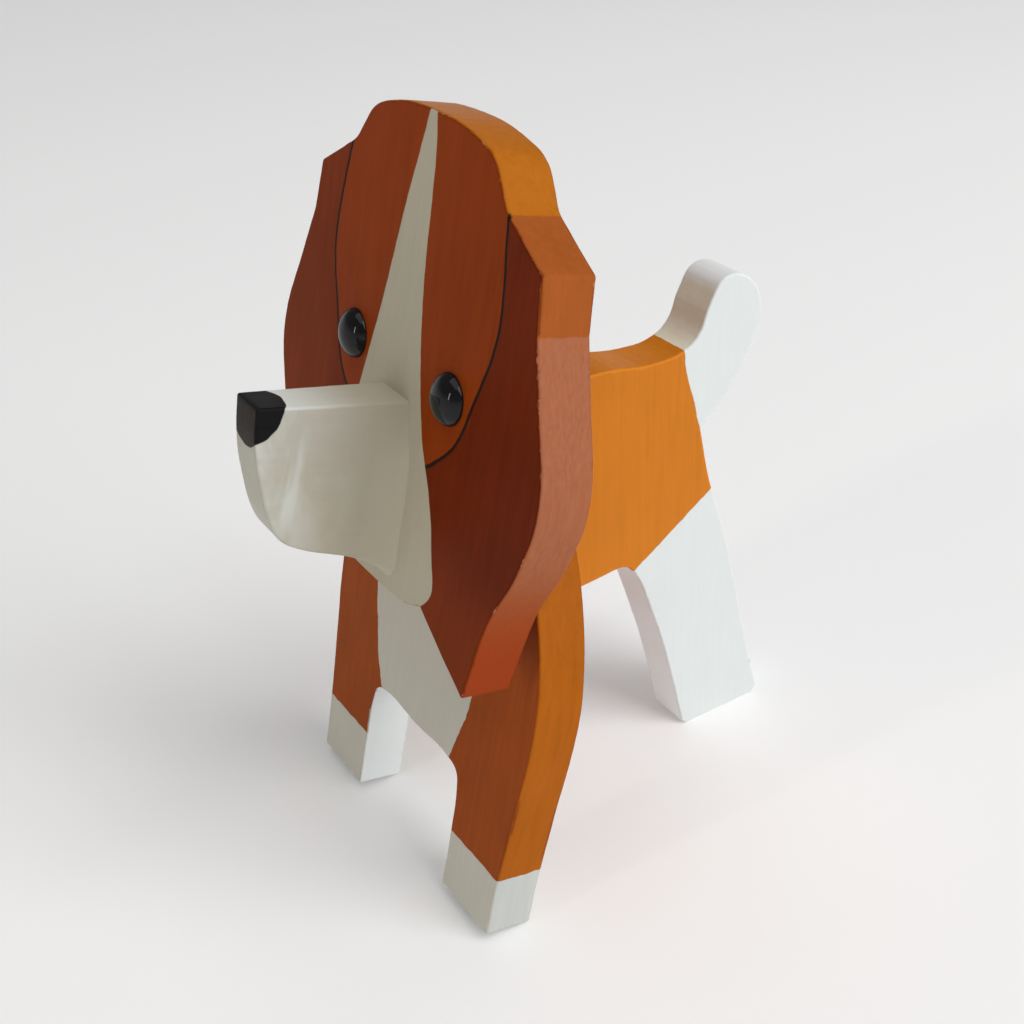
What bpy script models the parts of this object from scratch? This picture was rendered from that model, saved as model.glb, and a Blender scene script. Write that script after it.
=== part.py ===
"""A table stand for one pair of eyeglasses, cut from flat boards in the shape of a dog.

The head board and the front leg board face forward and lean back together.  The body board
stands on edge behind them and ends in a single hind leg and the tail.  The muzzle is a short
block on the head, and the bridge of the glasses rests on top of it.

World frame: +X is the dog's left, +Y its tail end, +Z up, with z = 0 on the table.
"""
import math

import bmesh
import bpy

MM = 0.001

# Driving dimensions, in metres.
BOARD = 9.5 * MM            # thickness of every board
GAP = 0.3 * MM              # clearance between pieces that touch
EASED_EDGE = 0.45 * MM      # sanded rounding along every board's edges
NECK_PAD = 4.0 * MM         # thickness of the pad between the head and the front leg board
LEAN = math.radians(13.3)   # the front boards lean back from upright
MID_LENGTH = 34.04 * MM     # from the front leg board's toe line back to the middle of the stand

NOSE_WIDTH = 7.7 * MM       # the muzzle narrows to this at the nose

EYE_RADIUS = 4.3 * MM
EYE_RISE = 2.4 * MM
EYE_PLACE = (15.8 * MM, 97.4 * MM)
EYE_SHANK_RADIUS = 1.1 * MM
EYE_SHANK_LENGTH = 4.0 * MM

DOWEL_RADIUS = 2.0 * MM
DOWEL_CHAMFER = 0.4 * MM
BLIND_DEPTH = 4.8 * MM      # how far a dowel goes into a board's face

# Distances behind the front leg board's front face, measured square to that face.
HEAD_BACK = -(NECK_PAD + 2 * GAP)
HEAD_FRONT = HEAD_BACK - BOARD
LEG_BACK = BOARD

CURVE_STEPS = 5             # straight steps in each curved stretch of an outline
ROUND_SIDES = 24
SMOOTH_ANGLE = math.radians(35)

# Where the outlines of the front boards lie: x across, and y up along the leaning board.
# "c" is a corner, "s" a smooth point.  Only the right half is listed; the left mirrors it.
HEAD_HALF = (
    (0.0, 138.4, "s"), (13.8, 136.9, "s"), (18.5, 135.0, "s"), (21.1, 132.0, "s"),
    (23.2, 129.1, "s"), (26.2, 127.2, "s"), (34.3, 122.7, "c"), (35.4, 114.0, "c"),
    (38.4, 105.4, "s"), (42.8, 91.0, "s"), (40.9, 80.2, "s"), (35.4, 67.8, "s"),
    (31.9, 52.4, "c"), (24.5, 56.4, "s"), (16.4, 60.9, "c"), (11.5, 59.2, "s"),
    (0.0, 58.5, "s"),
)
LEG_HALF = (
    (0.0, 93.5, "s"), (14.0, 92.4, "s"), (19.5, 87.0, "s"), (22.5, 78.0, "s"),
    (29.4, 65.0, "s"), (33.8, 52.0, "s"), (34.7, 43.0, "s"), (33.6, 26.0, "s"),
    (32.6, 12.0, "s"), (32.3, 0.0, "c"), (16.5, 0.0, "c"), (16.4, 13.0, "s"),
    (15.9, 21.0, "s"), (14.9, 23.8, "s"), (12.4, 24.8, "s"), (0.0, 24.6, "s"),
)
# The muzzle's side outline: distance behind the front leg board's face, and y up along it.
MUZZLE_TOP = 92.7
MUZZLE_OUTLINE = (
    (-40.5, MUZZLE_TOP, "c"), (-40.2, 87.0, "s"), (-38.6, 79.3, "s"), (-35.9, 72.0, "s"),
    (-34.0, 69.4, "s"), (-30.6, 67.6, "s"), (-21.4, 65.1, "s"),
)
MUZZLE_ROOT = 62.6
# The body board's side outline behind the front leg board: back from the toe line, and up.
CHEST_BOTTOM = 38.0         # height up the leg board where the body's lower edge meets it
WITHERS = 91.5              # and where its upper edge does
BODY_REAR_OUTLINE = (
    (31.0, 44.3, "s"), (45.9, 46.4, "s"), (51.8, 46.2, "s"), (53.4, 44.6, "s"),
    (59.2, 29.8, "s"), (64.1, 12.5, "s"), (66.7, 1.2, "c"), (67.9, 0.0, "c"),
    (86.2, 0.0, "c"), (87.6, 1.4, "c"), (84.2, 13.8, "s"), (76.1, 45.9, "s"),
    (71.6, 59.6, "s"), (68.9, 71.4, "c"), (74.6, 76.6, "s"), (80.7, 85.3, "s"),
    (82.5, 93.6, "s"), (79.7, 99.1, "s"), (73.6, 100.8, "s"), (70.0, 96.4, "s"),
    (67.4, 90.8, "s"), (64.0, 88.7, "s"), (56.6, 88.2, "s"), (46.0, 89.8, "s"),
)

FACING_FORWARD = (math.pi / 2, 0.0, 0.0)            # outline x, y become across and up
FACING_SIDEWAYS = (math.pi / 2, 0.0, math.pi / 2)   # outline x, y become back and up


def reset_scene():
    """Remove whatever the file holds."""
    for thing in list(bpy.data.objects):
        bpy.data.objects.remove(thing, do_unlink=True)


def make_collection(name):
    group = bpy.data.collections.new(name)
    bpy.context.scene.collection.children.link(group)
    return group


def make_material(name, color, roughness, metallic=0.0, coat=0.0):
    material = bpy.data.materials.new(name)
    material.use_nodes = True
    shader = material.node_tree.nodes["Principled BSDF"]
    shader.inputs["Base Color"].default_value = (*color, 1.0)
    shader.inputs["Roughness"].default_value = roughness
    shader.inputs["Metallic"].default_value = metallic
    shader.inputs["Coat Weight"].default_value = coat
    material.diffuse_color = (*color, 1.0)
    return material


def mirrored(half):
    """A closed outline from its right half, which starts and ends on the middle line."""
    left = [(-x, y, kind) for x, y, kind in reversed(half[1:-1])]
    return list(half) + left


def on_front_frame(back, up):
    """World y and z, from the toe line, of a point given in the leaning boards' frame."""
    lift = BOARD * math.sin(LEAN)
    y = back * math.cos(LEAN) + up * math.sin(LEAN)
    z = lift - back * math.sin(LEAN) + up * math.cos(LEAN)
    return y, z


def outline_curve(name, knots, thickness):
    """A flat closed outline through the knots, in millimetres, given half the thickness each way."""
    data = bpy.data.curves.new(name, "CURVE")
    data.dimensions = "2D"
    data.fill_mode = "BOTH"
    data.extrude = thickness / 2
    data.resolution_u = CURVE_STEPS
    spline = data.splines.new("BEZIER")
    spline.use_cyclic_u = True
    spline.bezier_points.add(len(knots) - 1)
    for point, (x, y, kind) in zip(spline.bezier_points, knots):
        point.co = (x * MM, y * MM, 0.0)
        point.handle_left_type = "AUTO" if kind == "s" else "VECTOR"
        point.handle_right_type = point.handle_left_type
    return bpy.data.objects.new(name, data)


def welded_mesh(curve_object):
    """The curve's evaluated mesh with its caps welded on and each cap one face."""
    bpy.context.view_layer.update()
    depsgraph = bpy.context.evaluated_depsgraph_get()
    mesh = bpy.data.meshes.new_from_object(curve_object.evaluated_get(depsgraph))
    work = bmesh.new()
    work.from_mesh(mesh)
    bmesh.ops.remove_doubles(work, verts=work.verts, dist=1e-6)
    bmesh.ops.dissolve_limit(work, angle_limit=math.radians(0.5), verts=work.verts, edges=work.edges)
    bmesh.ops.recalc_face_normals(work, faces=work.faces)
    work.to_mesh(mesh)
    work.free()
    return mesh


def cut_board(name, knots, material, group, place, turn, parent=None):
    """A board sawn to an outline, with its edges eased."""
    curve = outline_curve(name + "_outline", knots, BOARD)
    group.objects.link(curve)
    curve.parent = parent
    curve.location = place
    curve.rotation_euler = turn
    mesh = welded_mesh(curve)
    board = bpy.data.objects.new(name, mesh)
    group.objects.link(board)
    board.parent = parent
    board.matrix_world = curve.matrix_world
    bpy.data.objects.remove(curve, do_unlink=True)
    mesh.name = name
    mesh.materials.append(material)
    mesh.shade_smooth()
    mesh.set_sharp_from_angle(angle=SMOOTH_ANGLE)
    easing = board.modifiers.new("eased edges", "BEVEL")
    easing.width = EASED_EDGE
    easing.segments = 2
    easing.limit_method = "ANGLE"
    easing.angle_limit = math.radians(50)
    return board


def rod(name, radius, start, end, place, parent, group, chamfer=0.0):
    """A round rod square to the front boards, from start to end behind their front face."""
    bpy.ops.mesh.primitive_cylinder_add(vertices=ROUND_SIDES, radius=radius, depth=end - start)
    piece = bpy.context.object
    for old in list(piece.users_collection):
        old.objects.unlink(piece)
    group.objects.link(piece)
    piece.name = name
    piece.data.name = name
    piece.parent = parent
    piece.location = (place[0], (start + end) / 2, place[1])
    piece.rotation_euler = (math.pi / 2, 0.0, 0.0)
    piece.data.shade_smooth()
    piece.data.set_sharp_from_angle(angle=SMOOTH_ANGLE)
    if chamfer:
        ends = piece.modifiers.new("chamfered ends", "BEVEL")
        ends.width = chamfer
        ends.segments = 1
        ends.limit_method = "ANGLE"
        ends.angle_limit = math.radians(50)
    return piece


def drill(board, radius, start, end, place, parent, cutters):
    """Bore a round hole into a board, square to the front boards."""
    cutter = rod(board.name + "_drill", radius, start, end, place, parent, cutters)
    cutter.hide_render = True
    cutter.display_type = "WIRE"
    hole = board.modifiers.new("bored hole", "BOOLEAN")
    hole.operation = "DIFFERENCE"
    hole.solver = "EXACT"
    hole.object = cutter


def add_dowel(name, boards, joint, place, reach, frame, material, group, cutters):
    """A dowel in blind holes across a joint.

    boards are the pieces in front of and behind the joint, joint the two faces that meet there,
    and reach how far the dowel goes into each.
    """
    front_board, back_board = boards
    start = joint[0] - reach[0]
    end = joint[1] + reach[1]
    dowel = rod(name, DOWEL_RADIUS, start + GAP, end - GAP, place, frame, group, DOWEL_CHAMFER)
    dowel.data.materials.append(material)
    hole = DOWEL_RADIUS + GAP
    proud = 1.0 * MM
    drill(front_board, hole, start, joint[0] + proud, place, frame, cutters)
    drill(back_board, hole, joint[1] - proud, end, place, frame, cutters)


def make_head(frame, paint, group):
    place = (0.0, HEAD_FRONT + BOARD / 2, 0.0)
    return cut_board("head_board", mirrored(HEAD_HALF), paint, group, place, FACING_FORWARD, frame)


def make_front_legs(frame, paint, group):
    place = (0.0, LEG_BACK - BOARD / 2, 0.0)
    return cut_board("front_leg_board", mirrored(LEG_HALF), paint, group, place, FACING_FORWARD, frame)


def make_muzzle(frame, paint, group):
    root = (HEAD_FRONT - GAP) / MM
    knots = [(root, MUZZLE_TOP, "c"), *MUZZLE_OUTLINE, (root, MUZZLE_ROOT, "c")]
    muzzle = cut_board("muzzle", knots, paint, group, (0.0, 0.0, 0.0), FACING_SIDEWAYS, frame)
    nose = MUZZLE_OUTLINE[0][0]
    for vertex in muzzle.data.vertices:
        toward_nose = (vertex.co.x / MM - root) / (nose - root)
        vertex.co.z *= 1.0 - toward_nose * (1.0 - NOSE_WIDTH / BOARD)
    return muzzle


def make_body(paint, group):
    """The torso, the hind leg and the tail, in one board that stands on edge."""
    face = LEG_BACK + GAP
    chest = on_front_frame(face, CHEST_BOTTOM * MM)
    withers = on_front_frame(face, WITHERS * MM)
    knots = [
        (chest[0] / MM, chest[1] / MM, "c"),
        *BODY_REAR_OUTLINE,
        (withers[0] / MM, withers[1] / MM, "c"),
    ]
    place = (0.0, -MID_LENGTH, 0.0)
    return cut_board("body_board", knots, paint, group, place, FACING_SIDEWAYS)


def make_neck_pad(frame, paint, group):
    """The block that holds the head clear of the front leg board."""
    half_width, low, high = 13.0 * MM, 66.0 * MM, 89.0 * MM
    bpy.ops.mesh.primitive_cube_add(size=1.0)
    pad = bpy.context.object
    for old in list(pad.users_collection):
        old.objects.unlink(pad)
    group.objects.link(pad)
    pad.name = "neck_pad"
    pad.data.name = "neck_pad"
    size = (2 * half_width, NECK_PAD, high - low)
    for vertex in pad.data.vertices:
        vertex.co = [side * length for side, length in zip(vertex.co, size)]
    pad.parent = frame
    pad.location = (0.0, -(GAP + NECK_PAD / 2), (low + high) / 2)
    pad.data.materials.append(paint)
    easing = pad.modifiers.new("eased edges", "BEVEL")
    easing.width = EASED_EDGE
    easing.segments = 2
    return pad


def make_eye(name, side, frame, material, group):
    """A domed eye on a short shank, turned round its own axis."""
    profile = [(0.0, EYE_RISE)]
    arc_steps = 7
    for step in range(1, arc_steps + 1):
        angle = math.pi / 2 * step / arc_steps
        profile.append((EYE_RADIUS * math.sin(angle), EYE_RISE * math.cos(angle)))
    profile.append((EYE_SHANK_RADIUS, 0.0))
    profile.append((EYE_SHANK_RADIUS, -EYE_SHANK_LENGTH))
    profile.append((0.0, -EYE_SHANK_LENGTH))
    mesh = bpy.data.meshes.new(name)
    edges = [(i, i + 1) for i in range(len(profile) - 1)]
    mesh.from_pydata([(radius, 0.0, height) for radius, height in profile], edges, [])
    eye = bpy.data.objects.new(name, mesh)
    group.objects.link(eye)
    eye.parent = frame
    eye.location = (side * EYE_PLACE[0], HEAD_FRONT - GAP, EYE_PLACE[1])
    eye.rotation_euler = (math.pi / 2, 0.0, 0.0)
    turning = eye.modifiers.new("turned", "SCREW")
    turning.steps = ROUND_SIDES
    turning.render_steps = ROUND_SIDES
    turning.use_merge_vertices = True
    turning.merge_threshold = 1e-5
    turning.use_smooth_shade = True
    mesh.materials.append(material)
    return eye


def build_stand():
    reset_scene()
    group = make_collection("eyeglasses_display_stand")
    cutters = make_collection("cutters")

    brown = make_material("brown_painted_wood", (0.36, 0.085, 0.022), 0.45)
    orange = make_material("orange_painted_wood", (0.62, 0.24, 0.035), 0.45)
    white = make_material("white_painted_wood", (0.76, 0.75, 0.69), 0.5)
    black = make_material("gloss_black_eye", (0.01, 0.01, 0.012), 0.08, coat=0.6)
    bare = make_material("bare_hardwood", (0.58, 0.42, 0.25), 0.7)

    frame = bpy.data.objects.new("leaning_front", None)
    group.objects.link(frame)
    frame.location = (0.0, -MID_LENGTH, BOARD * math.sin(LEAN))
    frame.rotation_euler = (-LEAN, 0.0, 0.0)
    bpy.context.view_layer.update()

    head = make_head(frame, brown, group)
    legs = make_front_legs(frame, brown, group)
    muzzle = make_muzzle(frame, white, group)
    body = make_body(orange, group)
    pad = make_neck_pad(frame, brown, group)

    for name, side in (("eye_right", -1), ("eye_left", 1)):
        make_eye(name, side, frame, black, group)
        place = (side * EYE_PLACE[0], EYE_PLACE[1])
        hole = EYE_SHANK_RADIUS + GAP
        depth = EYE_SHANK_LENGTH + GAP
        drill(head, hole, HEAD_FRONT - MM, HEAD_FRONT + depth, place, frame, cutters)

    muzzle_joint = (HEAD_FRONT - GAP, HEAD_FRONT)
    for name, up in (("muzzle_dowel_upper", 86.0 * MM), ("muzzle_dowel_lower", 72.0 * MM)):
        add_dowel(name, (muzzle, head), muzzle_joint, (0.0, up), (9.0 * MM, BLIND_DEPTH),
                  frame, bare, group, cutters)

    neck_joint = (HEAD_BACK, 0.0)
    for name, side in (("neck_dowel_right", -1), ("neck_dowel_left", 1)):
        place = (side * 7.5 * MM, 78.0 * MM)
        add_dowel(name, (head, legs), neck_joint, place, (BLIND_DEPTH, BLIND_DEPTH),
                  frame, bare, group, cutters)
        drill(pad, DOWEL_RADIUS + GAP, HEAD_BACK - MM, MM, place, frame, cutters)

    body_joint = (LEG_BACK, LEG_BACK + GAP)
    for name, up in (("body_dowel_upper", 82.0 * MM), ("body_dowel_lower", 58.0 * MM)):
        add_dowel(name, (legs, body), body_joint, (0.0, up), (BLIND_DEPTH, 12.0 * MM),
                  frame, bare, group, cutters)


build_stand()
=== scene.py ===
"""Looks of the dog-shaped eyeglasses stand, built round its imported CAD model.

The boards are finer copies of the CAD solids, a little uneven as hand-sanded wood is.  Each
board carries measurements of where its painted areas lie, and the paints read those.
"""

import math

import bmesh
import bpy
from mathutils import Matrix, Vector, kdtree, noise


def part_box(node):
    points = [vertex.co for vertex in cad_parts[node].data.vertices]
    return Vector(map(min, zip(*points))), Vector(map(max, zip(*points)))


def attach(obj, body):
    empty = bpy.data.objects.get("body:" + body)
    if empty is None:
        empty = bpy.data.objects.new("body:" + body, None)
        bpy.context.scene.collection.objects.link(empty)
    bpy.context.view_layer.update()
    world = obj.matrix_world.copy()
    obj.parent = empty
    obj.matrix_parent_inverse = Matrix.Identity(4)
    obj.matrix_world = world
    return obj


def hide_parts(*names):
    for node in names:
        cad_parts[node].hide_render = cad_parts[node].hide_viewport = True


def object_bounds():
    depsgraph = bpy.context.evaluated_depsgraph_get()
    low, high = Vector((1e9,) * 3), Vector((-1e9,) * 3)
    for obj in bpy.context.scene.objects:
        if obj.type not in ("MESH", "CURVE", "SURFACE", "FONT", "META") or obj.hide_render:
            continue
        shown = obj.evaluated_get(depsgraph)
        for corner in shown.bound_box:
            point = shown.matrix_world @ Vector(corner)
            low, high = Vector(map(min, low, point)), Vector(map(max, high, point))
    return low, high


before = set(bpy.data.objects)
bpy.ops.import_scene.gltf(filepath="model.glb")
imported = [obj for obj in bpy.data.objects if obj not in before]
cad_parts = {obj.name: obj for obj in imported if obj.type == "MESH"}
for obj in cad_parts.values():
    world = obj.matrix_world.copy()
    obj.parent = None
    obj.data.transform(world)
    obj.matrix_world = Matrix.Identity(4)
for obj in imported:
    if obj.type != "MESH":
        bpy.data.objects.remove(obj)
CAD_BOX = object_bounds()
noise.seed_set(1)           # without it the boards come out a little different on each run

MM = 0.001
LEAN = math.radians(13.3)               # the front boards lean back from upright
MID_LENGTH = 34.04                      # toe line to the middle of the stand, in mm
BODY_LOW, BODY_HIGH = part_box("body_board")
BOARD = (BODY_HIGH.x - BODY_LOW.x) / MM     # thickness of every board, in mm

# From the world, in metres, to each board's own frame in mm.  On the front boards that is
# x across, y behind the front leg board's face and z up along the lean.  On the body board
# it is x across its thickness, y back from the toe line and z up.
FRONT_PLACE = (Matrix.Translation((0.0, -MID_LENGTH * MM, BOARD * math.sin(LEAN) * MM))
               @ Matrix.Rotation(-LEAN, 4, "X"))
FRONT_FRAME = Matrix.Scale(1 / MM, 4) @ FRONT_PLACE.inverted()
BODY_FRAME = Matrix.Scale(1 / MM, 4) @ Matrix.Translation((0.0, MID_LENGTH * MM, 0.0))

GRID = 1.2                  # spacing of the cuts that refine a board's mesh, in mm
NECK_PAD = 4.0              # thickness of the block between the head and the legs, in mm
JOINT_GAP = 0.3             # clearance of the CAD solids at a glued joint, which paint fills
BITE = 0.12                 # how far a filled joint reaches into its neighbour
EASED_EDGE = 0.45           # rounding of the boards' edges
HEAD_BACK = -NECK_PAD - 2 * JOINT_GAP
HEAD_FACE = HEAD_BACK - BOARD
FILLET_DEPTH = 6.0          # how far along the muzzle the filler at its root reaches
FILLET_SPREAD = 3.2         # and how far it spreads on the head
FILLET_FADE = 12.0          # it fades out over this height below the muzzle's top
EYE_HEIGHT = 97.4           # how far up the front boards' lean the eyes sit
EYE_RADIUS, EYE_RISE, EYE_LIP = 4.3, 2.7, 0.25
SHANK_RADIUS, SHANK_LENGTH = 1.1, 4.0

# A face is flat within this much of square to its board, and on the rim within this much of
# parallel to it.  Faces share a shading normal below the other two angles.
FLAT = math.cos(math.radians(8))
EDGE_ON = math.sin(math.radians(8))
CREASE = math.cos(math.radians(35))
ROLLED = math.cos(math.radians(62))

THROUGH_FRONT = (0.0, 1.0, 0.0)     # the direction through a front board
THROUGH_BODY = (1.0, 0.0, 0.0)      # the direction through the body board and the muzzle


# ---------------------------------------------------------------- where the paint changes

def smooth_line(*knots):
    """A function of height through (height, place) knots, straight beyond both ends.

    It gives the place at a height, and the slope there.
    """
    heights = [knot[0] for knot in knots]
    places = [knot[1] for knot in knots]
    last = len(knots) - 1
    slopes = []
    for i in range(len(knots)):
        a, b = max(i - 1, 0), min(i + 1, last)
        slopes.append((places[b] - places[a]) / (heights[b] - heights[a]))

    def at(height):
        if height <= heights[0]:
            return places[0] + slopes[0] * (height - heights[0]), slopes[0]
        if height >= heights[last]:
            return places[last] + slopes[last] * (height - heights[last]), slopes[last]
        i = next(k for k in range(last) if height <= heights[k + 1])
        span = heights[i + 1] - heights[i]
        t = (height - heights[i]) / span
        a, b = places[i], places[i + 1]
        p, q = slopes[i] * span, slopes[i + 1] * span
        place = (a * (2 * t**3 - 3 * t**2 + 1) + b * (3 * t**2 - 2 * t**3)
                 + p * (t**3 - 2 * t**2 + t) + q * (t**3 - t**2))
        change = ((b - a) * (6 * t - 6 * t**2) + p * (3 * t**2 - 4 * t + 1)
                  + q * (3 * t**2 - 2 * t)) / span
        return place, change

    return at


def past(line, across, height):
    """How far, in mm, a point lies on the high side of a line; negative on the other side."""
    place, slope = line(height)
    return (across - place) / math.sqrt(1 + slope * slope)


# The white of the face: the blaze from the crown down, and the cheeks down to the chin.
FACE_LEFT = smooth_line((60.9, -16.3), (63.5, -18.6), (66, -19.2), (75.1, -16.9), (85.3, -13.4),
                        (95, -10.7), (107.5, -7.6), (122.4, -4.6), (134, -1.8), (138.5, -0.8))
FACE_RIGHT = smooth_line((60.9, 16.3), (63.5, 18.6), (66, 19.2), (70.4, 17.7), (75.1, 16.4),
                         (81.1, 13.8), (88.2, 9.9), (99.5, 6.4), (112.8, 3.9), (128.2, 2.8),
                         (134.1, 2.1), (138.5, 1.1))
# The dark line between the face and each ear.
EAR_LINE = smooth_line((78, 1.0), (83.6, 10.5), (85.2, 13.4), (90.9, 19.3), (99.3, 22.7),
                       (107, 25.4), (112, 26.2), (118, 25.8), (124, 24.7), (128.2, 24.0))
# The white patch on the chest, above the arch between the front legs.
CHEST_LEFT = smooth_line((25.3, -13.8), (31.4, -16.6), (37.3, -18.3), (43.6, -19.9), (60, -23))
CHEST_RIGHT = smooth_line((25.3, 12.2), (32.4, 14.3), (36.4, 15.5), (40.1, 15.9), (60, 18))
EAR_KINK = 114.0            # below this the ears' sawn edge turns outward
PAW_TOP = 12.2              # the front paws are white up to here
ARCH_TOP = 25.5             # and the sawn edges between the legs up to here
ARCH_HALF = 17.0            # they lie within this of the middle
MUZZLE_TOP = 92.7
MUZZLE_HALF = 3.6           # the muzzle's flat sides lie past this distance from the middle
NOSE_PLACE = -40.5          # the nose is painted round the muzzle's upper front corner
NOSE_RADII = (6.3, 6.0, 7.4)
NOSE_SIZE = 6.5             # about their mean
# The white of the tail starts behind this line, and the white hind leg below its own.
TAIL_LINE = smooth_line((70, 69.6), (72.3, 68.4), (78, 67.0), (82.7, 65.4), (87, 64.5), (92, 64.2))
HIND_START, HIND_END = (53.2, 44.7), (72.5, 57.5)


def head_regions(p):
    return {
        "face_left": past(FACE_LEFT, p.x, p.z),
        "face_right": -past(FACE_RIGHT, p.x, p.z),
        "ear": past(EAR_LINE, abs(p.x), p.z),
    }


def leg_regions(p):
    on_front = BOARD / 2 - p.y
    return {
        "chest": min(past(CHEST_LEFT, p.x, p.z), -past(CHEST_RIGHT, p.x, p.z), on_front),
        "paw": PAW_TOP - p.z,
        "inner": min(ARCH_TOP - p.z, ARCH_HALF - abs(p.x)),
    }


def body_regions(p):
    rise = (HIND_END[1] - HIND_START[1]) / (HIND_END[0] - HIND_START[0])
    line = HIND_START[1] + rise * (p.y - HIND_START[0])
    return {
        "tail": past(TAIL_LINE, p.y, p.z),
        "hind": (line - p.z) / math.sqrt(1 + rise * rise),
    }


# ---------------------------------------------------------------- board meshes

def kind_of(face, through):
    """Whether a face lies on the sawn rim, on a flat side, or on the rounding between."""
    lean = abs(face.normal.dot(through))
    if lean > FLAT:
        return "side"
    return "rim" if lean < EDGE_ON else "round"


def cut_across(work, axis, place):
    """Cut a mesh along one plane square to an axis."""
    square = Vector([1.0 if i == axis else 0.0 for i in range(3)])
    everything = work.verts[:] + work.edges[:] + work.faces[:]
    bmesh.ops.bisect_plane(work, geom=everything, dist=0.01, plane_co=square * place,
                           plane_no=square)


def cut_grid(work, step):
    """Cut a mesh along planes square to its three axes, a step apart."""
    for axis in range(3):
        low = min(v.co[axis] for v in work.verts)
        high = max(v.co[axis] for v in work.verts)
        count = math.ceil((high - low) / step)
        for i in range(1, count):
            cut_across(work, axis, low + (high - low) * i / count)


def edge_points(work, kinds):
    """Points close together along the middle of every rounded edge."""
    middle = {v for v in work.verts if all(kinds[f] == "round" for f in v.link_faces)}
    points = []
    for edge in work.edges:
        if edge.verts[0] in middle and edge.verts[1] in middle:
            a, b = edge.verts[0].co, edge.verts[1].co
            steps = max(1, math.ceil((b - a).length / 0.2))
            points += [a.lerp(b, i / steps) for i in range(steps + 1)]
    return points


def distances_from_edge(work, kinds):
    """How far each vertex lies from the board's edge: above 0 on a side, below on the rim."""
    points = edge_points(work, kinds)
    tree = kdtree.KDTree(len(points))
    for i, point in enumerate(points):
        tree.insert(point, i)
    tree.balance()
    result = []
    for vertex in work.verts:
        around = {kinds[f] for f in vertex.link_faces}
        reach = tree.find(vertex.co)[2]
        result.append(reach if "side" in around else -reach if "rim" in around else 0.0)
    return result


def corner_normal(face, vertex, kinds):
    """A shading normal that keeps flats flat, rolls over roundings and stops at corners."""
    flats = [f for f in vertex.link_faces if kinds[f] != "round"]
    if kinds[face] == "round":
        near = [f for f in flats if f.normal.dot(face.normal) > ROLLED]
        near = near or [f for f in vertex.link_faces if f.normal.dot(face.normal) > ROLLED]
    else:
        near = [f for f in flats if f.normal.dot(face.normal) > CREASE]
    total = Vector()
    for f in near or [face]:
        total += f.normal * f.calc_area()
    return total.normalized()


def hand_worked(point, edge, seed):
    """The small offset, in mm, that sanding and paint leave at a point of a board.

    Long low waves and short lower ones, a little stronger along the rounded edges.
    """
    long_waves = noise.noise_vector(point * 0.11 + Vector((seed, 0, 0))) * 0.07
    short_waves = noise.noise_vector(point * 0.45 + Vector((0, seed, 0))) * 0.025
    return (long_waves + short_waves) * (1.0 if abs(edge) > 0.2 else 1.3)


def flare_root(work):
    """Spread the muzzle's root in a small fillet of filler and paint that meets the head board."""
    root = max(v.co.y for v in work.verts)
    top = max(v.co.z for v in work.verts)
    cuts = 18
    for i in range(1, cuts):
        cut_across(work, 1, root - FILLET_DEPTH * (1 - math.sin(math.pi / 2 * i / cuts)))
    work.normal_update()
    moves = {}
    for vertex in work.verts:
        share = min(1.0, (vertex.co.y - root + FILLET_DEPTH) / FILLET_DEPTH)
        outward = Vector((vertex.normal.x, 0.0, vertex.normal.z))
        if share > 0 and outward.length > 0.3:
            outward.normalize()
            into_ease = max(0.0, 1 - (root - vertex.co.y) / EASED_EDGE)
            below_top = min(1.0, (top - vertex.co.z) / FILLET_FADE)
            spread = FILLET_SPREAD * below_top**2 * (3 - 2 * below_top)
            spread *= 1 - 0.4 * max(0.0, -outward.z)
            reach = spread * (1 - math.sqrt(1 - share * share))
            reach += EASED_EDGE * (1 - math.sqrt(1 - into_ease**2))
            moves[vertex] = outward * reach + Vector((0.0, (JOINT_GAP + BITE) * share**2, 0.0))
    for vertex, move in moves.items():
        vertex.co += move


def meet_legs(work):
    """Carry the body board's front edge across the glue line to the front leg board."""
    to_front = FRONT_FRAME @ BODY_FRAME.inverted()
    forward = to_front.inverted().to_3x3() @ Vector((0.0, -(JOINT_GAP + BITE), 0.0))
    for vertex in work.verts:
        if (to_front @ vertex.co).y < BOARD + JOINT_GAP + EASED_EDGE + 0.01:
            vertex.co += forward


def fill_neck(work):
    """Carry the neck block across the glue lines on both of its sides."""
    middle = HEAD_BACK / 2
    grown = 1 + 2 * (JOINT_GAP + BITE) / NECK_PAD
    for vertex in work.verts:
        vertex.co.y = middle + (vertex.co.y - middle) * grown


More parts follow.
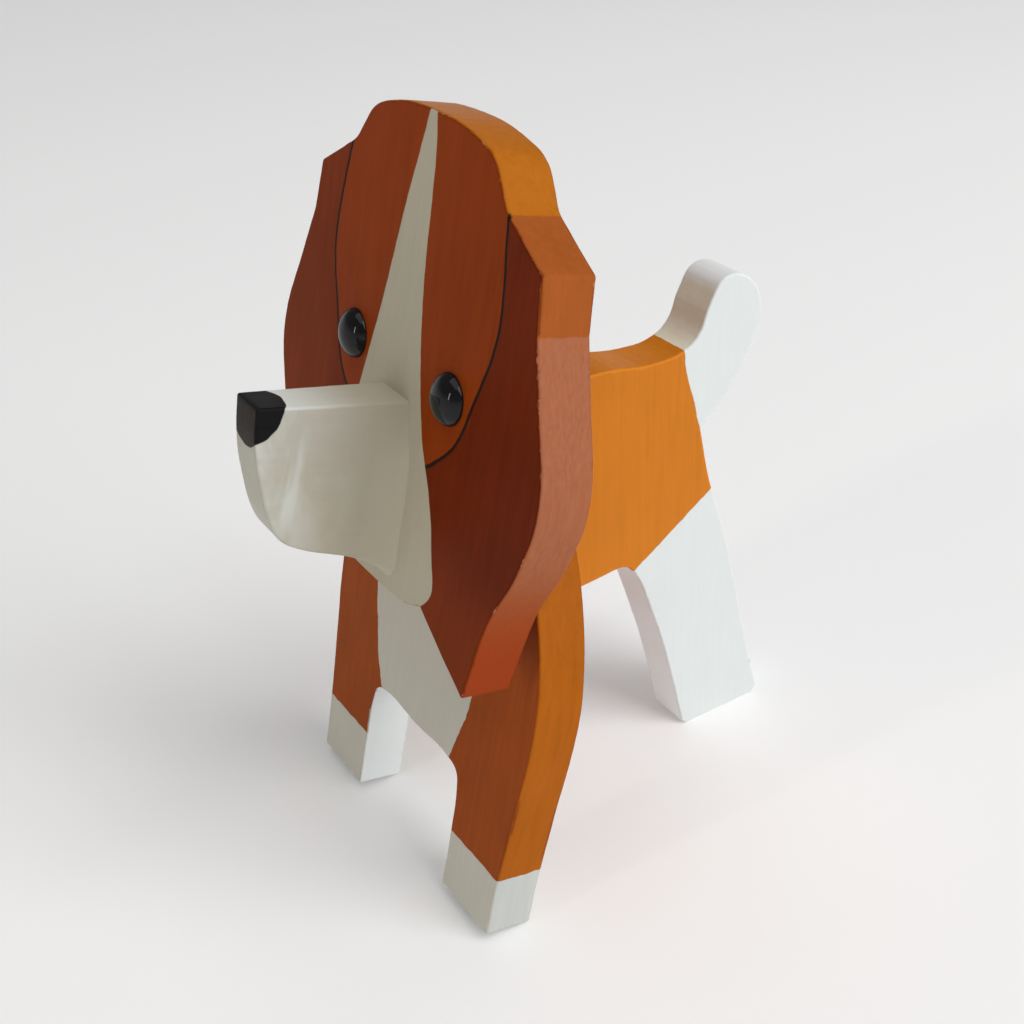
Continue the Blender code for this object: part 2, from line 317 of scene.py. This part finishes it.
def board_piece(name, node, slot, to_board, through, regions, seed, shape=None):
    """A finer, slightly uneven copy of a CAD board that carries its paint measurements."""
    work = bmesh.new()
    work.from_mesh(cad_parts[node].data)
    work.transform(to_board)
    bmesh.ops.remove_doubles(work, verts=work.verts, dist=0.001)
    bmesh.ops.dissolve_limit(work, angle_limit=math.radians(0.3), verts=work.verts,
                             edges=work.edges)
    cut_grid(work, GRID)
    if shape:
        shape(work)
    bmesh.ops.triangulate(work, faces=[f for f in work.faces if len(f.verts) > 4])
    work.normal_update()
    through = Vector(through)
    kinds = {face: kind_of(face, through) for face in work.faces}
    edges = distances_from_edge(work, kinds)
    measures = [regions(v.co) for v in work.verts] if regions else [{}]
    for vertex, edge in zip(work.verts, edges):
        vertex.co += hand_worked(vertex.co, edge, seed)
    work.normal_update()
    if shape is flare_root:
        start = HEAD_FACE - FILLET_DEPTH
        edges = [max(abs(edge), vertex.co.y - start) for vertex, edge in zip(work.verts, edges)]
    normals = [corner_normal(face, loop.vert, kinds) for face in work.faces for loop in face.loops]
    from_board = to_board.inverted()
    turn = from_board.to_3x3().normalized()
    work.transform(from_board)
    mesh = bpy.data.meshes.new(name)
    work.to_mesh(mesh)
    work.free()
    mesh.shade_smooth()
    mesh.normals_split_custom_set([turn @ n for n in normals])
    store(mesh, "edge", edges)
    for key in measures[0]:
        store(mesh, key, [m[key] for m in measures])
    piece = bpy.data.objects.new(name, mesh)
    bpy.context.scene.collection.objects.link(piece)
    settle(piece, slot, node)
    return piece


def store(mesh, name, values):
    layer = mesh.attributes.new(name, "FLOAT", "POINT")
    layer.data.foreach_set("value", values)


def settle(piece, slot, *nodes):
    """Join a piece to the frame, in place of the CAD nodes it stands for."""
    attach(piece, "root")
    if nodes:
        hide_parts(*nodes)


# ---------------------------------------------------------------- materials

class Paint:
    """A procedural material under construction."""

    def __init__(self, name, to_board=None):
        self.material = bpy.data.materials.new(name)
        self.material.use_nodes = True
        self.tree = self.material.node_tree
        self.tree.nodes.clear()
        self.shader = self.node("ShaderNodeBsdfPrincipled")
        output = self.node("ShaderNodeOutputMaterial")
        self.tree.links.new(self.shader.outputs[0], output.inputs["Surface"])
        place = self.node("ShaderNodeTexCoord").outputs["Object"]
        if to_board is None:
            to_board = Matrix.Scale(1 / MM, 4)
        where, turn, size = to_board.inverted().decompose()
        self.place = self.node("ShaderNodeMapping", place, tuple(where), tuple(turn.to_euler()),
                               tuple(size), vector_type="TEXTURE").outputs[0]

    def node(self, kind, *inputs, **settings):
        made = self.tree.nodes.new(kind)
        for key, value in settings.items():
            setattr(made, key, value)
        for socket, value in zip(made.inputs, inputs):
            self.feed(socket, value)
        return made

    def feed(self, socket, value):
        if isinstance(value, bpy.types.NodeSocket):
            self.tree.links.new(value, socket)
        elif value is not None:
            socket.default_value = value

    def math(self, operation, *inputs, clamp=False):
        return self.node("ShaderNodeMath", *inputs, operation=operation, use_clamp=clamp).outputs[0]

    def measure(self, name):
        """A board measurement, in mm, stored on the mesh."""
        return self.node("ShaderNodeAttribute", attribute_name=name).outputs["Fac"]

    def noise(self, stretch, detail=3.0, rough=0.55, distort=0.0, shift=0.0):
        """Noise from 0 to 1, with the given cycles per mm along the board's three axes.

        Noises of different shifts have nothing in common.
        """
        moved = self.node("ShaderNodeMapping", self.place, (shift, shift * 0.7, -shift),
                          (0.0, 0.0, 0.0), stretch).outputs[0]
        made = self.node("ShaderNodeTexNoise")
        self.feed(made.inputs["Vector"], moved)
        for key, value in (("Scale", 1.0), ("Detail", detail), ("Roughness", rough),
                           ("Distortion", distort)):
            made.inputs[key].default_value = value
        return made.outputs["Fac"]

    def span(self, value, low, high, to_low=0.0, to_high=1.0):
        """A value from one span put smoothly onto another."""
        return self.node("ShaderNodeMapRange", value, low, high, to_low, to_high,
                         interpolation_type="SMOOTHSTEP").outputs[0]

    def mix(self, share, under, over, blend="MIX"):
        made = self.node("ShaderNodeMix", data_type="RGBA", blend_type=blend)
        for name, value in (("Factor", share), ("A", under), ("B", over)):
            sockets = [s for s in made.inputs if s.name == name and s.enabled]
            if isinstance(value, tuple):
                value = (*value, 1.0)
            self.feed(sockets[0], value)
        return next(s for s in made.outputs if s.enabled)

    def cover(self, measure, ragged=0.22, soft=0.1):
        """How far paint that starts where a measure passes 0 covers: its edge is drawn by hand."""
        wander = self.math("MULTIPLY_ADD", self.noise((0.35,) * 3, 3.0), 2 * ragged, -ragged)
        return self.span(self.math("ADD", measure, wander), -soft, soft)

    def toned(self, color, by):
        """A colour of the tree made darker or paler by one factor."""
        return self.mix(1.0, color, (by, by, by), "MULTIPLY")

    def brushed(self, color, darker, along):
        """A colour brushed into a darker tone of itself, with the brush marks along one axis."""
        stroke = tuple(0.06 if axis == along else 0.75 for axis in range(3))
        share = self.math("MULTIPLY_ADD", self.noise(stroke, 4.0, 0.6, 0.4), 0.9,
                          self.math("MULTIPLY", self.noise((0.055,) * 3, 2.0, shift=9.0), 0.7))
        return self.mix(self.span(share, 0.45, 1.15), toned(color, darker), color)

    def on_rim(self):
        """Where a board's sawn rim is, as against its flat sides."""
        return self.math("SUBTRACT", 1.0, self.cover(self.measure("edge"), 0.08, 0.10))

    def places(self):
        """The place in the board's frame, in mm, as three values."""
        return self.node("ShaderNodeSeparateXYZ", self.place).outputs

    def finish(self, color, rough, height, depth):
        """Connect colour, roughness and relief; depth is the relief's full height in mm."""
        self.feed(self.shader.inputs["Base Color"], color)
        self.feed(self.shader.inputs["Roughness"], rough)
        bump = self.node("ShaderNodeBump")
        bump.inputs["Strength"].default_value = 1.0
        bump.inputs["Distance"].default_value = depth * MM
        self.feed(bump.inputs["Height"], height)
        self.feed(self.shader.inputs["Normal"], bump.outputs[0])
        return self.material


def toned(color, by):
    """A colour made darker or paler by one factor."""
    return tuple(channel * by for channel in color)


# Colours, in linear light.
FACE_BROWN = (0.316, 0.048, 0.004)
EAR_BROWN = (0.185, 0.023, 0.003)
EAR_PALE = (0.238, 0.036, 0.004)
LEG_BROWN = (0.398, 0.081, 0.011)
ORANGE = (0.640, 0.198, 0.010)
CROWN_ORANGE = (0.485, 0.147, 0.012)
LEG_ORANGE = (0.4472, 0.1196, 0.0083)
EAR_ORANGE = (0.385, 0.098, 0.020)
EAR_TIP = (0.315, 0.046, 0.009)
# A pinkish painted sheen on the ears' rim below the kink.
EAR_FACET_SHEEN = (0.385, 0.158, 0.096)
CREAM = (0.518, 0.474, 0.360)
MUZZLE_CREAM = (0.560, 0.548, 0.470)
# Darker cream for random patches and for painted shade on the muzzle.
SMUDGE_AND_SHADE_CREAM = (0.510, 0.465, 0.355)
# One white paint in three copies: warm painted shade on the front, darker painted shade on the
# outer rims, painted light between the legs.
PAW_WHITE_SHADED_FRONT = (0.637, 0.614, 0.526)
INNER_WHITE_LIT = (0.790, 0.820, 0.810)
PAW_RIM_SHADED = (0.585, 0.600, 0.570)
WHITE = (0.735, 0.775, 0.765)
# A lighter copy of the white for the body's rims, a painted light.
EDGE_WHITE_LIT = (0.860, 0.880, 0.870)
# A painted warm shade on the tail's front edge.
TAIL_SHADE = (0.790, 0.750, 0.580)
# Whiter cream for brush marks and for painted sheen and light on the muzzle.
BRUSHED_AND_LIT_WHITE = (0.765, 0.800, 0.765)
# The lightest copy of the white, a painted light on the hind leg's rims.
HIND_EDGE_LIT = (0.930, 0.955, 0.955)
LINE = (0.025, 0.012, 0.008)
NOSE_BLACK = (0.0128, 0.0128, 0.0136)
# A brownish painted warm light on the black nose's front face.
NOSE_WARM_LIGHT = (0.020, 0.013, 0.008)
EYE_BLACK = (0.006, 0.006, 0.007)
EYE_GREY = (0.014, 0.014, 0.016)
RUBBED_BROWN = (0.66, 0.33, 0.16)
RUBBED_WHITE = (0.60, 0.52, 0.42)
BARE_WOOD = (0.60, 0.42, 0.25)


def aged(paint, color, along, white, rubbed, brim_tone):
    """Fine grain that telegraphs through the paint, small scuffs and rubbed edges.

    White paint, where white is 1, shows less of them.  Where it's rubbed through, the paint
    has the rubbed colour, and beside an edge it is toned by the brim's factor.
    """
    fibre = tuple(0.035 if axis == along else 1.6 for axis in range(3))
    lines = paint.noise(fibre, 5.0, 0.65, 0.2, shift=3.0)
    shown = paint.math("MULTIPLY_ADD", white, -0.17, 0.23)
    shown = paint.math("MULTIPLY", paint.span(lines, 0.50, 0.75), shown)
    color = paint.mix(shown, color, paint.toned(color, 0.66))
    edge = paint.math("ABSOLUTE", paint.measure("edge"))
    brim = paint.math("MULTIPLY", paint.span(edge, 0.05, 0.5, 0.4, 0.0),
                      paint.math("MULTIPLY_ADD", white, -0.7, 1.0))
    color = paint.mix(brim, color, paint.toned(color, brim_tone))
    rub = paint.math("MULTIPLY_ADD", paint.noise((0.4,) * 3, 3.0, 0.6, shift=5.0), 2.4, -1.5)
    worn = paint.span(paint.math("SUBTRACT", rub, edge), -0.06, 0.12, 0.0, 0.5)
    color = paint.mix(worn, color, rubbed)
    return color, lines, worn


def satin(paint, color, along, step=None, white=0.0, rubbed=RUBBED_BROWN, gloss=0.025,
          brim_tone=0.66):
    """The common finish of the painted boards, with a layer of paint raised where step is 1."""
    color, lines, worn = aged(paint, color, along, white, rubbed, brim_tone)
    stroke = tuple(0.10 if axis == along else 1.3 for axis in range(3))
    brush = paint.noise(stroke, 3.0, 0.5, 0.5, shift=1.0)
    speck = paint.noise((4.0,) * 3, 2.0, 0.5, shift=7.0)
    height = paint.math("MULTIPLY_ADD", brush, 0.42, paint.math("MULTIPLY", lines, 0.20))
    height = paint.math("MULTIPLY_ADD", speck, 0.10, height)
    height = paint.math("MULTIPLY_ADD", worn, -0.25, height)
    if step is not None:
        height = paint.math("MULTIPLY_ADD", step, 0.6, height)
    rough = paint.math("MULTIPLY_ADD", brush, 0.18, 0.26)
    rough = paint.math("MULTIPLY_ADD", worn, 0.2, rough)
    paint.shader.inputs["Specular IOR Level"].default_value = gloss
    return paint.finish(color, rough, height, 0.05)


def head_paint():
    """Brown face and ears, the white blaze, the drawn ear lines and the orange sawn rim."""
    paint = Paint("head_paint", FRONT_FRAME)
    along = 2
    on_rim = paint.on_rim()
    ear = paint.cover(paint.measure("ear"), 0.1)
    across, behind, height = paint.places()
    # The ears are paler on the dog's right and towards their tips.
    pale = paint.math("MAXIMUM", paint.span(across, -28.0, -14.0, 1.0, 0.0),
                      paint.span(height, 60.0, 78.0, 1.0, 0.0))
    ear_front = paint.mix(pale, paint.brushed(EAR_BROWN, 0.72, along),
                          paint.brushed(EAR_PALE, 0.78, along))
    front = paint.mix(ear, paint.brushed(FACE_BROWN, 0.78, along), ear_front)
    # Below the kink their rim carries a pinkish painted sheen in streaks, and it is redder at the
    # tip.
    ear_rim = paint.brushed(EAR_ORANGE, 0.84, along)
    facet_sheen = paint.cover(paint.math("SUBTRACT", EAR_KINK, height), 0.5, 0.15)
    streaks = paint.span(paint.noise((1.9, 1.9, 0.04), 4.0, 0.6), 0.3, 0.7, 0.35, 0.7)
    facet_sheen = paint.math("MULTIPLY", facet_sheen, streaks)
    facet_sheen = paint.math("MULTIPLY", facet_sheen, paint.span(height, 62.0, 88.0))
    ear_rim = paint.mix(facet_sheen, ear_rim, EAR_FACET_SHEEN)
    ear_rim = paint.mix(paint.span(height, 58.0, 82.0, 1.0, 0.0), ear_rim, EAR_TIP)
    rim = paint.mix(ear, paint.brushed(CROWN_ORANGE, 0.84, along), ear_rim)
    color = paint.mix(on_rim, front, rim)
    # The lines and the blaze are on the front only.
    forward = paint.span(behind, HEAD_FACE + 0.1, HEAD_FACE + 0.7, 1.0, 0.0)
    wander = paint.math("MULTIPLY_ADD", paint.noise((0.3,) * 3, 2.0, shift=2.0), 0.3, -0.15)
    off_line = paint.math("ABSOLUTE", paint.math("ADD", paint.measure("ear"), wander))
    line = paint.math("MULTIPLY", paint.span(off_line, 0.22, 0.42, 1.0, 0.0), forward)
    color = paint.mix(line, color, LINE)
    inside = paint.math("MINIMUM", paint.measure("face_left"), paint.measure("face_right"))
    white = paint.math("MULTIPLY", paint.cover(inside, 0.14), forward)
    white = paint.math("MULTIPLY", white, paint.math("SUBTRACT", 1.0, on_rim))
    color = paint.mix(white, color, paint.brushed(CREAM, 0.93, along))
    step = paint.math("SUBTRACT", white, line)
    return satin(paint, color, along, step, white)


def leg_paint():
    """Brown legs with an orange rim, white paws, a white chest and white between the legs.

    The white is one paint in painted light and shade: a warm shaded copy on the front, a darker
    shaded copy on the outer rims and a lit copy on the rims between the legs.
    """
    paint = Paint("front_leg_paint", FRONT_FRAME)
    along = 2
    on_rim = paint.on_rim()
    color = paint.mix(on_rim, paint.brushed(LEG_BROWN, 0.78, along),
                      paint.brushed(LEG_ORANGE, 0.808, along))
    inner = paint.math("MULTIPLY", paint.cover(paint.measure("inner")), on_rim)
    white = paint.math("MAXIMUM", paint.cover(paint.measure("paw"), 0.45), inner)
    chest = paint.math("MULTIPLY", paint.cover(paint.measure("chest"), 0.4),
                       paint.math("SUBTRACT", 1.0, on_rim))
    white = paint.math("MAXIMUM", white, chest)
    # The white's rims: painted shade on the outer rims, painted light between the legs.
    rim_white_lit_and_shaded = paint.mix(inner, paint.brushed(PAW_RIM_SHADED, 0.90, along), INNER_WHITE_LIT)
    whites = paint.mix(on_rim, paint.brushed(PAW_WHITE_SHADED_FRONT, 0.95, along), rim_white_lit_and_shaded)
    color = paint.mix(white, color, whites)
    return satin(paint, color, along, white, white)


def body_paint():
    """Orange body, white tail and hind leg.

    The white's rims are lighter copies of it as painted light, lightest on the hind leg, and the
    tail's front edge has a painted warm shade.
    """
    paint = Paint("body_paint", BODY_FRAME)
    along = 2
    color = paint.brushed(ORANGE, 0.88, along)
    hind = paint.cover(paint.measure("hind"), 0.4)
    white = paint.math("MAXIMUM", paint.cover(paint.measure("tail"), 0.3), hind)
    on_rim = paint.span(paint.measure("edge"), -0.4, 0.0, 1.0, 0.0)
    _, back, height = paint.places()
    # A painted warm shade on the tail's front edge, in patches.
    tail_shade_share = paint.math("MULTIPLY", paint.span(height, 85.5, 88.5),
                        paint.span(height, 97.5, 100.5, 1.0, 0.0))
    tail_shade_share = paint.math("MULTIPLY", tail_shade_share, paint.span(back, 73.5, 76.5, 1.0, 0.0))
    patches = paint.span(paint.noise((0.5,) * 3, 3.0), 0.3, 0.6, 0.75, 1.0)
    tail_shade_share = paint.math("MULTIPLY", tail_shade_share, patches)
    # The rims get lighter copies of the white as painted light, and the tail's front edge gets its
    # painted warm shade.
    rim_white_lit_and_shaded = paint.mix(hind, paint.mix(tail_shade_share, EDGE_WHITE_LIT, TAIL_SHADE), HIND_EDGE_LIT)
    side_white = paint.brushed(WHITE, 0.97, along)
    color = paint.mix(white, color, paint.mix(on_rim, side_white, rim_white_lit_and_shaded))
    return satin(paint, color, along, white, white, gloss=0.12, brim_tone=1.35)


def muzzle_paint():
    """Cream with random darker patches, painted shade towards the head, and darker towards the
    bottom.

    Its whiter brush marks carry a painted sheen on the sides and a painted light on the top towards
    the black nose.
    """
    paint = Paint("muzzle_paint", FRONT_FRAME)
    along = 1
    color = paint.brushed(MUZZLE_CREAM, 0.90, along)
    across, behind, height = paint.places()
    # Random darker patches, plus painted shade towards the head, and darker towards the bottom.
    smudge_and_shade = paint.span(paint.noise((0.12,) * 3, 4.0, 0.6, 0.6, shift=6.0), 0.38, 0.72, 0.0, 0.35)
    shade_near_head = paint.span(behind, -40.0, -18.0, 0.0, 0.55)
    low_down = paint.span(height, 60.0, 88.0, 0.25, 0.0)
    for more in (shade_near_head, low_down):
        smudge_and_shade = paint.math("ADD", smudge_and_shade, more, clamp=True)
    color = paint.mix(smudge_and_shade, color, SMUDGE_AND_SHADE_CREAM)
    # Whiter brush marks with a painted sheen on the sides and a painted light on the top, fading
    # towards the head.
    strokes_and_sheen = paint.span(paint.noise((0.25, 0.15, 0.05), 3.0, 0.5, 0.8, shift=8.0), 0.40, 0.68)
    strokes_and_sheen = paint.math("MULTIPLY", strokes_and_sheen, paint.span(height, 64.0, 80.0, 0.2, 0.8))
    on_side = paint.span(paint.math("ABSOLUTE", across), MUZZLE_HALF - 0.1, MUZZLE_HALF + 0.15)
    on_top = paint.math("MULTIPLY", paint.span(height, MUZZLE_TOP - 0.7, MUZZLE_TOP - 0.2), 0.9)
    strokes_and_sheen = paint.math("MAXIMUM", paint.math("MULTIPLY", strokes_and_sheen, on_side), on_top)
    toward_nose = paint.span(behind, -38.0, -20.0, 1.0, 0.0)
    strokes_and_sheen = paint.math("MULTIPLY", strokes_and_sheen, toward_nose)
    color = paint.mix(strokes_and_sheen, color, BRUSHED_AND_LIT_WHITE)
    color = paint.mix(paint.span(behind, -22.0, HEAD_FACE - 0.5), color, CREAM)
    tip = paint.node("ShaderNodeMapping", paint.place, (0.0, NOSE_PLACE, MUZZLE_TOP),
                     (0.0, 0.0, 0.0), NOSE_RADII, vector_type="TEXTURE").outputs[0]
    reach = paint.node("ShaderNodeVectorMath", tip, operation="LENGTH").outputs["Value"]
    nose = paint.cover(paint.math("MULTIPLY_ADD", reach, -NOSE_SIZE, NOSE_SIZE), 0.35)
    black = paint.brushed(NOSE_BLACK, 0.625, along)
    # The black nose's front face gets a brownish painted warm light; its top and sides stay black.
    in_front = paint.math("SUBTRACT", 1.0, paint.math("MAXIMUM", on_side, on_top), clamp=True)
    color = paint.mix(nose, color, paint.mix(in_front, black, NOSE_WARM_LIGHT))
    rubbed = paint.mix(nose, RUBBED_WHITE, toned(NOSE_BLACK, 2.5))
    return satin(paint, color, along, nose, 1.0, rubbed, gloss=0.05)


def pad_paint():
    """The brown of the legs, on the block between them and the head."""
    paint = Paint("neck_pad_paint", FRONT_FRAME)
    along = 2
    return satin(paint, paint.brushed(LEG_BROWN, 0.78, along), along)


def eye_gloss():
    """Polished moulded black, with the faintest waviness and a little dust dulling the gloss."""
    paint = Paint("eye_gloss", FRONT_FRAME)
    cloud = paint.noise((0.5,) * 3, 3.0)
    color = paint.mix(cloud, EYE_BLACK, EYE_GREY)
    rough = paint.span(paint.noise((1.4,) * 3, 4.0, 0.7, shift=4.0), 0.45, 0.8, 0.04, 0.12)
    paint.shader.inputs["Specular IOR Level"].default_value = 0.24
    return paint.finish(color, rough, paint.noise((0.35,) * 3, 2.0), 0.03)


def dowel_wood():
    """Bare turned hardwood, with the grain along the dowel."""
    paint = Paint("dowel_wood", FRONT_FRAME)
    rings = paint.noise((1.4, 0.06, 1.4), 5.0, 0.6, 0.6)
    color = paint.mix(paint.span(rings, 0.35, 0.7), toned(BARE_WOOD, 0.7), BARE_WOOD)
    pores = paint.noise((5.0, 0.3, 5.0), 2.0, 0.5, shift=2.0)
    color = paint.mix(paint.span(pores, 0.55, 0.7, 0.0, 0.4), color, toned(BARE_WOOD, 0.45))
    rough = paint.math("MULTIPLY_ADD", pores, 0.2, 0.55)
    return paint.finish(color, rough, rings, 0.05)


# ---------------------------------------------------------------- pieces

def make_boards():
    """The five wooden pieces, each in place of its CAD node, with its paint."""
    brown, orange, white = "brown_painted_wood", "orange_painted_wood", "white_painted_wood"
    front, body = (FRONT_FRAME, THROUGH_FRONT), (BODY_FRAME, THROUGH_BODY)
    boards = (
        ("head", "head_board", brown, *front, head_regions, None, head_paint),
        ("front_legs", "front_leg_board", brown, *front, leg_regions, None, leg_paint),
        ("body_and_tail", "body_board", orange, *body, body_regions, meet_legs, body_paint),
        ("muzzle_block", "muzzle", white, FRONT_FRAME, THROUGH_BODY, None, flare_root,
         muzzle_paint),
        ("neck_block", "neck_pad", brown, *front, None, fill_neck, pad_paint),
    )
    for i, (name, node, slot, to_board, through, regions, shape, material) in enumerate(boards):
        piece = board_piece(name, node, slot, to_board, through, regions, 11.0 * i, shape)
        piece.data.materials.append(material())


def eye_profile():
    """Radius and height along the eye's outline, in mm, from its top to the shank's end."""
    steps = 18
    points = [(0.0, EYE_RISE)]
    for i in range(1, steps + 1):
        turn = math.pi / 2 * i / steps
        points.append(((EYE_RADIUS - EYE_LIP) * math.sin(turn) + EYE_LIP * math.sin(turn)**3,
                       EYE_RISE * math.cos(turn)))
    points += [(EYE_RADIUS - EYE_LIP * 0.6, 0.0), (SHANK_RADIUS, 0.0)]
    points += [(SHANK_RADIUS, -SHANK_LENGTH), (0.0, -SHANK_LENGTH)]
    return points


def ring_of_points(work, radius, middle, place, sides):
    """One turn of points round an eye's axis, or a single point on the axis."""
    ring = []
    for i in range(sides if radius else 1):
        turn = 2 * math.pi * i / sides
        point = Vector((middle + radius * math.cos(turn), place,
                        EYE_HEIGHT + radius * math.sin(turn)))
        ring.append(work.verts.new(FRONT_FRAME.inverted() @ point))
    return ring


def make_eye(name, node, material):
    """A turned eye that stands where its CAD solid does."""
    low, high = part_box(node)
    sides = 64
    middle = (FRONT_FRAME @ ((low + high) / 2)).x
    work = bmesh.new()
    rings = [ring_of_points(work, radius, middle, HEAD_FACE + BITE - height, sides)
             for radius, height in eye_profile()]
    for inner, outer in zip(rings, rings[1:]):
        for i in range(sides):
            corners = [inner[i % len(inner)], inner[(i + 1) % len(inner)],
                       outer[(i + 1) % len(outer)], outer[i % len(outer)]]
            unique = list(dict.fromkeys(corners))
            if len(unique) > 2:
                work.faces.new(unique)
    bmesh.ops.recalc_face_normals(work, faces=work.faces)
    mesh = bpy.data.meshes.new(name)
    work.to_mesh(mesh)
    work.free()
    mesh.shade_smooth()
    mesh.set_sharp_from_angle(angle=math.radians(50))
    mesh.materials.append(material)
    eye = bpy.data.objects.new(name, mesh)
    bpy.context.scene.collection.objects.link(eye)
    settle(eye, "gloss_black_eye", node)


def finish_dowels():
    """Give the CAD dowels, which stay, their wood."""
    wood = dowel_wood()
    for name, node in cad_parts.items():
        if "dowel" in name:
            node.data.materials.clear()
            node.data.materials.append(wood)


# ---------------------------------------------------------------- studio

def make_floor():
    """A pale table with a faint glow, which fades into the backdrop before its edge."""
    fade_start, fade_end, reach = 0.6, 1.7, 2.4
    mesh = bpy.data.meshes.new("floor")
    corners = [(-reach, -reach, 0), (reach, -reach, 0), (reach, reach, 0), (-reach, reach, 0)]
    mesh.from_pydata(corners, [], [(0, 1, 2, 3)])
    paint = Paint("floor", Matrix.Identity(4))
    away = paint.node("ShaderNodeVectorMath", paint.place, operation="LENGTH").outputs["Value"]
    paint.feed(paint.shader.inputs["Alpha"], paint.span(away, fade_start, fade_end, 1.0, 0.0))
    paint.shader.inputs["Base Color"].default_value = (0.94, 0.94, 0.94, 1.0)
    paint.shader.inputs["Roughness"].default_value = 0.9
    paint.shader.inputs["Specular IOR Level"].default_value = 0.0
    paint.shader.inputs["Emission Color"].default_value = (1.0, 1.0, 1.0, 1.0)
    paint.shader.inputs["Emission Strength"].default_value = 0.09
    mesh.materials.append(paint.material)
    floor = bpy.data.objects.new("floor", mesh)
    bpy.context.scene.collection.objects.link(floor)


def soft_light(name, place, size, watts, color):
    """A soft panel of a width and height in metres that faces the middle of the stand."""
    data = bpy.data.lights.new(name, "AREA")
    data.shape = "RECTANGLE"
    data.size, data.size_y = size
    data.energy = watts
    data.color = color
    light = bpy.data.objects.new(name, data)
    light.visible_camera = False
    light.location = place
    toward = Vector((0.0, 0.0, (CAD_BOX[0][2] + CAD_BOX[1][2]) / 2)) - light.location
    light.rotation_euler = toward.to_track_quat("-Z", "Y").to_euler()
    bpy.context.scene.collection.objects.link(light)


def make_lights():
    """Soft daylight from the dog's left, a small lamp in front, and a pale room."""
    soft_light("key", (1.34, 0.62, 1.89), (1.5, 1.5), 25.0, (1.0, 1.0, 1.0))
    soft_light("window", (1.50, 0.99, 0.45), (1.2, 0.9), 10.5, (0.97, 0.99, 1.0))
    soft_light("overhead", (0.0, 0.0, 2.6), (2.4, 2.4), 20.0, (1.0, 1.0, 1.0))
    soft_light("front_lamp", (0.09, -1.73, 0.82), (0.10, 0.70), 3.0, (1.0, 0.92, 0.82))
    make_backdrop()


def make_backdrop():
    """A room that is pale at the height of the table and darker overhead."""
    pale, dark, dark_from = 0.72, 0.13, 0.42
    world = bpy.data.worlds.new("studio")
    world.use_nodes = True
    nodes, links = world.node_tree.nodes, world.node_tree.links
    direction = nodes.new("ShaderNodeTexCoord").outputs["Generated"]
    height = nodes.new("ShaderNodeSeparateXYZ")
    glow = nodes.new("ShaderNodeMapRange")
    glow.interpolation_type = "SMOOTHSTEP"
    for name, value in (("From Min", 0.0), ("From Max", dark_from), ("To Min", pale),
                        ("To Max", dark)):
        glow.inputs[name].default_value = value
    links.new(direction, height.inputs[0])
    links.new(height.outputs["Z"], glow.inputs["Value"])
    links.new(glow.outputs["Result"], nodes["Background"].inputs["Strength"])
    nodes["Background"].inputs["Color"].default_value = (1.0, 1.0, 1.0, 1.0)
    bpy.context.scene.world = world
    bpy.context.scene.view_settings.view_transform = "Standard"


def make_camera():
    """The photograph's point of view, fitted to the corners of the boards."""
    place = (0.188244, -0.12049, 0.19854)
    yaw, pitch, roll, level = 58.479, -31.2, 2.368, 90.0
    data = bpy.data.cameras.new("camera")
    data.sensor_width = 36.0
    data.lens = 49.8035
    data.clip_start = 0.01
    camera = bpy.data.objects.new("camera", data)
    turn = Matrix.Identity(4)
    for degrees, axis in ((yaw, "Z"), (pitch, "X"), (roll, "Y"), (level, "X")):
        turn = turn @ Matrix.Rotation(math.radians(degrees), 4, axis)
    camera.matrix_world = Matrix.Translation(place) @ turn
    bpy.context.scene.collection.objects.link(camera)
    bpy.context.scene.camera = camera


make_camera()
make_lights()
make_floor()
make_boards()
gloss = eye_gloss()
make_eye("eye_bead_left", "eye_left", gloss)
make_eye("eye_bead_right", "eye_right", gloss)
finish_dowels()
